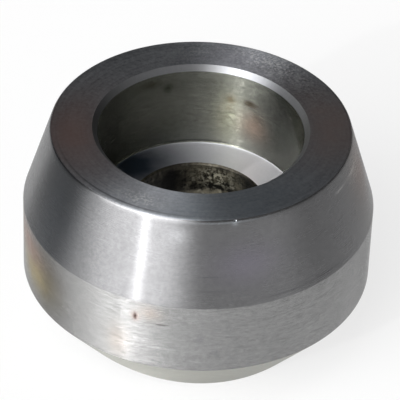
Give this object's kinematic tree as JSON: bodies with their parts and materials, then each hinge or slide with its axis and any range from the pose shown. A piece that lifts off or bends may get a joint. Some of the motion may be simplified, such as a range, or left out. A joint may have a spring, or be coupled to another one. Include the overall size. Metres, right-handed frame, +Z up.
{
  "type": "socket weld outlet fitting",
  "caption": "Steel branch outlet: a counterbored pipe socket in a tapered body, a straight band, a weld bevel, and a saddle underside shaped to the outside of a run pipe.",
  "frame": {"origin": "on the socket axis, level with the tips of the two saddle legs that the fitting stands on", "axes": "+Z up the socket axis and out of the mouth, +X along the axis of the run pipe, the legs on the +Y and -Y sides"},
  "size_m": [0.0468, 0.0466, 0.0302],
  "materials": {
    "machined_steel": "bare turned steel with fine tool lines"
  },
  "bodies": {
    "root": {"outlet_body": "machined_steel"}
  },
  "joints": []
}
